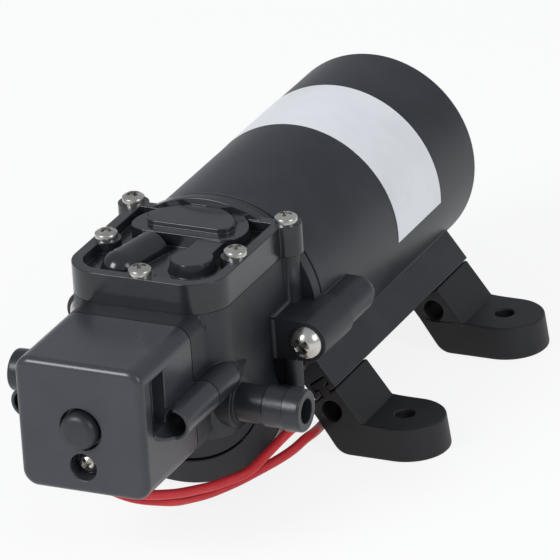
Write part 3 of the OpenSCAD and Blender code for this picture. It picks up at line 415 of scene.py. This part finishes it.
ground_steel = metal(
    "ground_steel", (0.62, 0.62, 0.64), (0.48, 0.48, 0.50), rough=0.22, lines=(6, 0.4, 6)
)
paint(
    ground_steel, "front_plate", "front_bearing", "rear_bearing", "motor_shaft", "brush_springs",
    "eccentric", "rod_bearing", "piston_screw", "switch_bracket",
)
laminations = metal(
    "laminated_iron", (0.30, 0.30, 0.32), (0.20, 0.19, 0.19), rough=0.45, lines=(0.4, 12, 0.4)
)
paint(laminations, "armature")
coil_copper = metal(
    "coil_copper", (0.62, 0.29, 0.13), (0.42, 0.17, 0.07), rough=0.28, lines=(5, 5, 0.6)
)
paint(coil_copper, "windings", "commutator")
ferrite = Finish("ferrite", Specular_IOR_Level=0.35)
ferrite_grain = ferrite.noise(1200, 8, 0.7)
ferrite.set("Base Color", ferrite.mix(ferrite_grain, (0.07, 0.07, 0.075), (0.14, 0.14, 0.145)))
ferrite.set("Roughness", 0.6 + 0.2 * ferrite_grain)
ferrite.relief(ferrite_grain, 0.02 * mm)
paint(ferrite, "magnets")
carbon = moulded(
    "carbon", (0.03, 0.03, 0.032), (0.06, 0.06, 0.062), gloss=0.45, grain=0.02 * mm
)
paint(carbon, "brushes")
dark_nylon = moulded(
    "dark_nylon", (0.014, 0.014, 0.016), (0.03, 0.03, 0.032), gloss=0.4, grain=0.01 * mm
)
paint(dark_nylon, "brush_plate", "microswitch")


# The feet. Four splayed rubber feet slide on the rails and grip them; each has a screw hole in
# its round pad. They are moulded in soft black rubber with rounded edges.
rubber_finish = moulded(
    "foot_rubber", (0.008, 0.008, 0.009), (0.017, 0.017, 0.019),
    gloss=0.45, grain=0.02 * mm, scuffs=0.3, shine=0.4,
)
foot_hole_x = 39.5
foot_hole_y = (5.3, 64.3)
foot_cuts = {"x": (-foot_hole_x, foot_hole_x), "y": foot_hole_y}
for corner in ("front_right", "front_left", "rear_right", "rear_left"):
    foot = eased(f"foot_{corner}", f"rubber_foot_{corner}", width=0.5 * mm, cuts=foot_cuts)
    coat(foot, rubber_finish)
seal_rubber = moulded(
    "seal_rubber", (0.010, 0.010, 0.011), (0.022, 0.022, 0.024), gloss=0.5, grain=0.02 * mm
)
paint(seal_rubber, "lead_grommet", "diaphragm", "inlet_valve", "outlet_valve", "switch_diaphragm")


# The pump head. Its body carries both hose barbs, the screw lugs and the stub of the pressure
# switch; the half round cap closes it below. Both are moulded in black plastic.
front_screw_y = -31
rear_screw_y = -10.4
barb_z = 29.4
switch_joint = -55.3


def on_barbs(finish):
    """1 on the two hose barbs, 0 elsewhere on the head."""
    across = finish.node("ShaderNodeSeparateXYZ", {}, {0: finish.place}, "X")
    along = finish.node("ShaderNodeSeparateXYZ", {}, {0: finish.place}, "Y")
    outside = (across * across).above((21 * mm) ** 2, (21.5 * mm) ** 2)
    return outside * (0.0 - along).above(33 * mm, 34 * mm)


def sharp_on_head(at):
    """Edges of the head that stay sharp: the joint with the switch, the stub under the cover,
    the tunnels' tails and the ribs of the lugs."""
    side = abs(at.x)
    stub = at.y < switch_joint + 0.05 or at.y < -48.5 and at.z > 51.2
    tail = 16 < side < 21 and -42 < at.y < -33.5 and 34 < at.z < 43
    rib = 19 < side < 22.5 and -22.6 < at.y < -8 and 30 < at.z < 43
    return stub or tail or rib


head_finish = moulded(
    "head_plastic", (0.013, 0.014, 0.018), (0.027, 0.028, 0.033),
    gloss=0.40, grain=0.010 * mm, scuffs=0.3, polished=on_barbs,
)
head_cuts = {"x": (-bolt_x, 0, bolt_x), "y": (front_screw_y, rear_screw_y), "z": (barb_z,)}
head_body = eased(
    "pump_housing", "head_body", width=0.25 * mm, cuts=head_cuts, keep=sharp_on_head
)
coat(head_body, head_finish)
lower_cap = eased("lower_cover", "lower_cap", width=0.4 * mm, cuts={"x": (0,)})
coat(lower_cap, head_finish)


# The drive in the head. A white nylon rod and cap work the diaphragm under the valve plate, which
# is of the same nylon.
nylon = Finish("white_nylon", Specular_IOR_Level=0.45)
milky = nylon.noise(120, 5)
nylon.set("Base Color", nylon.mix(milky, (0.76, 0.76, 0.72), (0.86, 0.86, 0.82)))
nylon.set("Roughness", 0.38 + 0.15 * milky)
nylon.relief(nylon.noise(2400), 0.01 * mm)
paint(nylon, "connecting_rod", "piston_cap", "valve_plate", "switch_plunger")


# The valve cover. It is moulded in a harder and glossier plastic, with a raised rim round a stepped
# chamber, a long dome and a round dome, and five screws hold it down.
chamber_step_z = 62.8
cover_finish = moulded(
    "cover_plastic", (0.013, 0.014, 0.017), (0.023, 0.025, 0.029),
    gloss=0.10, grain=0.003 * mm, scuffs=0.2,
)
cover_cuts = {"x": (0,), "y": (front_screw_y, rear_screw_y)}
valve_cover = eased(
    "top_cover", "valve_cover", width=0.19 * mm, cuts=cover_cuts,
    wide=lambda at: at.z > chamber_step_z, wide_width=0.28 * mm,
)
coat(valve_cover, cover_finish)


# The screws. Steel pan heads, nickel plated, with a cross recess; each size is modelled once and
# copied, and no two recesses point the same way.
nickel = metal(
    "nickel_plate", (0.60, 0.58, 0.54), (0.40, 0.38, 0.35), rough=0.15, lines=(3, 3, 3)
)


def pan_screw(name, head_d, head_h, recess, shank_d, shank_l, dome=0.6):
    """A pan head screw at the origin, its head up, with a tapered cross recess; dome is the share
    of the head's height that is round."""
    half = head_d / 2
    rise = dome * head_h
    ball = (half * half + rise * rise) / (2 * rise)
    arm_w = 0.3 * recess
    recess_h = 0.8 * head_h
    recess_middle = (0, 0, 0.65 * head_h)
    recess_bottom = (0, 0, 0.25 * head_h)
    taper = (0.45, 0.7, 1)
    bpy.ops.object.select_all(action="DESELECT")
    bpy.ops.mesh.primitive_uv_sphere_add(
        segments=48, ring_count=64, radius=ball, location=(0, 0, head_h - ball)
    )
    screw = bpy.context.object
    screw.name = name
    bpy.ops.object.transform_apply()
    bpy.ops.object.mode_set(mode="EDIT")
    bpy.ops.mesh.select_mode(type="FACE")
    bpy.ops.mesh.select_all(action="SELECT")
    bpy.ops.mesh.bisect(
        plane_co=(0, 0, head_h - rise), plane_no=(0, 0, 1), use_fill=True, clear_inner=True,
        threshold=weld,
    )
    bpy.ops.mesh.select_all(action="SELECT")
    bpy.ops.mesh.normals_make_consistent(inside=False)
    bpy.ops.mesh.select_all(action="DESELECT")
    bpy.ops.object.mode_set(mode="OBJECT")
    for face in screw.data.polygons:
        face.select = face.normal.z < -0.9
    bpy.ops.object.mode_set(mode="EDIT")
    bpy.ops.mesh.extrude_region_move(TRANSFORM_OT_translate={"value": (0, 0, rise - head_h)})
    bpy.ops.mesh.inset(thickness=half - shank_d / 2)
    bpy.ops.mesh.extrude_region_move(TRANSFORM_OT_translate={"value": (0, 0, -shank_l)})
    bpy.ops.object.mode_set(mode="OBJECT")
    for quarter in (0, 1):
        bpy.ops.object.select_all(action="DESELECT")
        bpy.ops.mesh.primitive_cube_add(size=1, location=recess_middle)
        cutter = bpy.context.object
        cutter.scale = (recess, arm_w, recess_h)
        cutter.rotation_euler.z = quarter * math.pi / 2
        bpy.ops.object.mode_set(mode="EDIT")
        bpy.ops.mesh.select_all(action="DESELECT")
        bpy.ops.object.mode_set(mode="OBJECT")
        for face in cutter.data.polygons:
            face.select = face.normal.z < -0.9
        bpy.ops.object.mode_set(mode="EDIT")
        bpy.ops.transform.resize(value=taper, center_override=recess_bottom)
        bpy.ops.object.mode_set(mode="OBJECT")
        cut = screw.modifiers.new("recess", "BOOLEAN")
        cut.operation = "DIFFERENCE"
        cut.solver = "EXACT"
        cut.object = cutter
        choose(screw)
        bpy.ops.object.modifier_apply(modifier=cut.name)
        bpy.data.objects.remove(cutter)
    return screw


def drive_in(screw, name, node, body, places, turns, forward=False):
    """Copies of a screw at their places, in millimetres, joined into one piece for its node."""
    tilt = Matrix.Rotation(math.pi / 2, 4, "X") if forward else Matrix.Identity(4)
    copies = []
    for place, turn in zip(places, turns):
        choose(screw)
        bpy.ops.object.duplicate()
        copy = bpy.context.object
        spin = Matrix.Rotation(math.radians(turn), 4, "Z")
        copy.matrix_world = Matrix.Translation(Vector(place) * mm) @ tilt @ spin
        bpy.ops.object.transform_apply()
        copies.append(copy)
    choose(*copies)
    if len(copies) > 1:
        bpy.ops.object.join()
    piece = bpy.context.object
    piece.name = name
    bpy.data.objects.remove(screw)
    dress(piece, nickel, smooth=58)
    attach(piece, body)
    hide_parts(node)


seat_z = 61
cover_seats = [
    (19.55, rear_screw_y, seat_z), (-19.55, rear_screw_y, seat_z),
    (16.4, front_screw_y, seat_z), (-16.4, front_screw_y, seat_z), (0, -47, seat_z),
]
drive_in(
    pan_screw(
        "cover_screw", head_d=5.3 * mm, head_h=2.3 * mm, recess=3.4 * mm,
        shank_d=2.9 * mm, shank_l=16.4 * mm, dome=0.42,
    ),
    "valve_cover_screws", "cover_screws", "pump", cover_seats, turns=[10, 52, 33, 71, 20],
)
lug_seats = [(bolt_x, -21.7, 36.6), (-bolt_x, -21.7, 36.6)]
drive_in(
    pan_screw(
        "head_bolt", head_d=8 * mm, head_h=3 * mm, recess=4.2 * mm,
        shank_d=3.9 * mm, shank_l=24.7 * mm, dome=0.9,
    ),
    "motor_bolts", "head_bolts", "pump", lug_seats, turns=[38, 15], forward=True,
)
tunnel_x = 18.6
tunnel_seats = [(tunnel_x, -61.2, 37), (-tunnel_x, -61.2, 37)]
adjuster_seat = [(0, -77.25, 28)]
drive_in(
    pan_screw(
        "switch_screw", head_d=5.1 * mm, head_h=2.2 * mm, recess=2.7 * mm,
        shank_d=2.9 * mm, shank_l=13 * mm,
    ),
    "switch_box_screws", "switch_screws", "pump", tunnel_seats, turns=[25, 60], forward=True,
)
drive_in(
    pan_screw(
        "pressure_screw", head_d=5 * mm, head_h=2.6 * mm, recess=3.2 * mm,
        shank_d=2.4 * mm, shank_l=8 * mm,
    ),
    "pressure_adjuster", "adjusting_screw", "adjuster", adjuster_seat, turns=[30], forward=True,
)


# The pressure switch. A square box of glossy plastic on the head's stub, held by two screws down
# its side tunnels; a rubber plug closes the hole in its face and the screw under it sets the
# pressure. Its steel spring and red button are inside.
switch_half_w = 16
switch_half_h = 16.1
switch_z = 37.3
face_y = -81.15


def on_face_rim(at):
    """Edges round the rim of the switch's face."""
    reach = max(abs(at.x) / switch_half_w, abs(at.z - switch_z) / switch_half_h)
    return at.y < face_y and reach > 0.85


def at_joint(at):
    """Edges of the switch that meet the head's stub."""
    return at.y > switch_joint - 0.05


switch_finish = moulded(
    "switch_plastic", (0.031, 0.032, 0.039), (0.041, 0.042, 0.051),
    gloss=0.20, grain=0.005 * mm, scuffs=0.25,
)
switch_cuts = {"x": (-tunnel_x, 0, tunnel_x), "z": (37.2,)}
joint_gap = 0.35 * mm
switch_box = eased(
    "switch_cover", "switch_box", width=0.3 * mm, cuts=switch_cuts,
    wide=on_face_rim, wide_width=1.8 * mm, keep=at_joint,
)
bpy.ops.object.mode_set(mode="EDIT")
bpy.ops.mesh.select_mode(type="VERT")
bpy.ops.mesh.select_all(action="DESELECT")
bpy.ops.object.mode_set(mode="OBJECT")
for corner in switch_box.data.vertices:
    corner.select = at_joint(corner.co / mm)
bpy.ops.object.mode_set(mode="EDIT")
bpy.ops.transform.translate(value=(0, -joint_gap, 0))
bpy.ops.object.mode_set(mode="OBJECT")
coat(switch_box, switch_finish)

plug_place = (0, -81.6 * mm, 37.4 * mm)
plug_rim_y = -83 * mm
plug_stem_l = 1.8 * mm
bpy.ops.object.select_all(action="DESELECT")
bpy.ops.mesh.primitive_cylinder_add(
    vertices=72, radius=4.5 * mm, depth=4.4 * mm, location=plug_place, rotation=(math.pi / 2, 0, 0)
)
rubber_plug = bpy.context.object
rubber_plug.name = "rubber_plug"
bpy.ops.object.transform_apply()
bpy.ops.object.mode_set(mode="EDIT")
bpy.ops.mesh.select_all(action="DESELECT")
bpy.ops.object.mode_set(mode="OBJECT")
for edge in rubber_plug.data.edges:
    edge.select = all(rubber_plug.data.vertices[end].co.y < plug_rim_y for end in edge.vertices)
bpy.ops.object.mode_set(mode="EDIT")
bpy.ops.mesh.select_mode(type="EDGE")
bpy.ops.mesh.bevel(offset=1.9 * mm, segments=10, profile=0.5, affect="EDGES")
bpy.ops.mesh.select_mode(type="FACE")
bpy.ops.mesh.select_all(action="DESELECT")
bpy.ops.object.mode_set(mode="OBJECT")
for face in rubber_plug.data.polygons:
    face.select = face.normal.y > 0.9
bpy.ops.object.mode_set(mode="EDIT")
bpy.ops.mesh.inset(thickness=0.8 * mm)
bpy.ops.mesh.extrude_region_move(TRANSFORM_OT_translate={"value": (0, plug_stem_l, 0)})
bpy.ops.object.mode_set(mode="OBJECT")
plug_finish = moulded(
    "plug_rubber", (0.012, 0.013, 0.017), (0.026, 0.027, 0.032),
    gloss=0.34, grain=0.014 * mm, scuffs=0.4,
)
dress(rubber_plug, plug_finish)
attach(rubber_plug, "pump")
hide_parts("switch_plug")

pressure_spring = eased("switch_spring", "pressure_spring", width=0.12 * mm, cuts={})
coat(pressure_spring, ground_steel)
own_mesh(pressure_spring)

red_button = moulded(
    "red_button", (0.45, 0.03, 0.025), (0.55, 0.06, 0.05), gloss=0.4, grain=0.01 * mm
)
paint(red_button, "switch_button")


# The studio. A white paper floor, soft light from all round and two large soft lamps; the floor
# and the background come out white and the floor keeps a faint shadow.
bpy.ops.object.select_all(action="DESELECT")
bpy.ops.mesh.primitive_plane_add(size=6, location=(0, 0, 0))
floor = bpy.context.object
floor.name = "paper_floor"
paper = Finish("paper", Roughness=0.9, Specular_IOR_Level=0.1)
paper.set("Base Color", paper.mix(paper.noise(400, 6), (0.90, 0.90, 0.90), (0.93, 0.93, 0.93)))
seen = paper.node("ShaderNodeLightPath", {}, {}, "Is Camera Ray")
mirrored = paper.node("ShaderNodeLightPath", {}, {}, "Is Glossy Ray")
passed = paper.node("ShaderNodeLightPath", {}, {}, "Is Transmission Ray")
glow = paper.node("ShaderNodeEmission", {}, {"Color": (1, 1, 1, 1), "Strength": 1.0})
lit = Shade(paper, paper.shader.outputs[0])
glow_share = 0.86 * (seen + mirrored + passed)
mixed = paper.node("ShaderNodeMixShader", {}, {0: glow_share, 1: lit, 2: glow})
paper.feed(paper.tree.nodes["Material Output"].inputs["Surface"], mixed)
dress(floor, paper)

world = bpy.data.worlds.new("studio")
bpy.context.scene.world = world
world.use_nodes = True
sky = world.node_tree
backdrop = sky.nodes["Background"]
backdrop.inputs["Color"].default_value = (0.90, 0.94, 1, 1)
backdrop.inputs["Strength"].default_value = 0.5
white = sky.nodes.new("ShaderNodeBackground")
white.inputs["Color"].default_value = (1, 1, 1, 1)
ray = sky.nodes.new("ShaderNodeLightPath")
either = sky.nodes.new("ShaderNodeMixShader")
sky.links.new(ray.outputs["Is Camera Ray"], either.inputs[0])
sky.links.new(backdrop.outputs[0], either.inputs[1])
sky.links.new(white.outputs[0], either.inputs[2])
sky.links.new(either.outputs[0], sky.nodes["World Output"].inputs["Surface"])


def softbox(name, place, power):
    """A large square lamp at its place, turned towards the pump."""
    bpy.ops.object.light_add(type="AREA", location=place)
    lamp = bpy.context.object
    lamp.name = name
    lamp.data.shape = "RECTANGLE"
    lamp.data.size = 0.45
    lamp.data.size_y = 0.45
    lamp.data.energy = power
    lamp.data.color = (0.92, 0.95, 1)
    aim = Vector((0, 0, 0.03))
    lamp.rotation_euler = (aim - Vector(place)).to_track_quat("-Z", "Y").to_euler()


softbox("key_lamp", (-0.45, -0.85, 0.7), power=9)
softbox("fill_lamp", (1, -0.25, 0.6), power=3.2)
bpy.context.scene.view_settings.view_transform = "Standard"
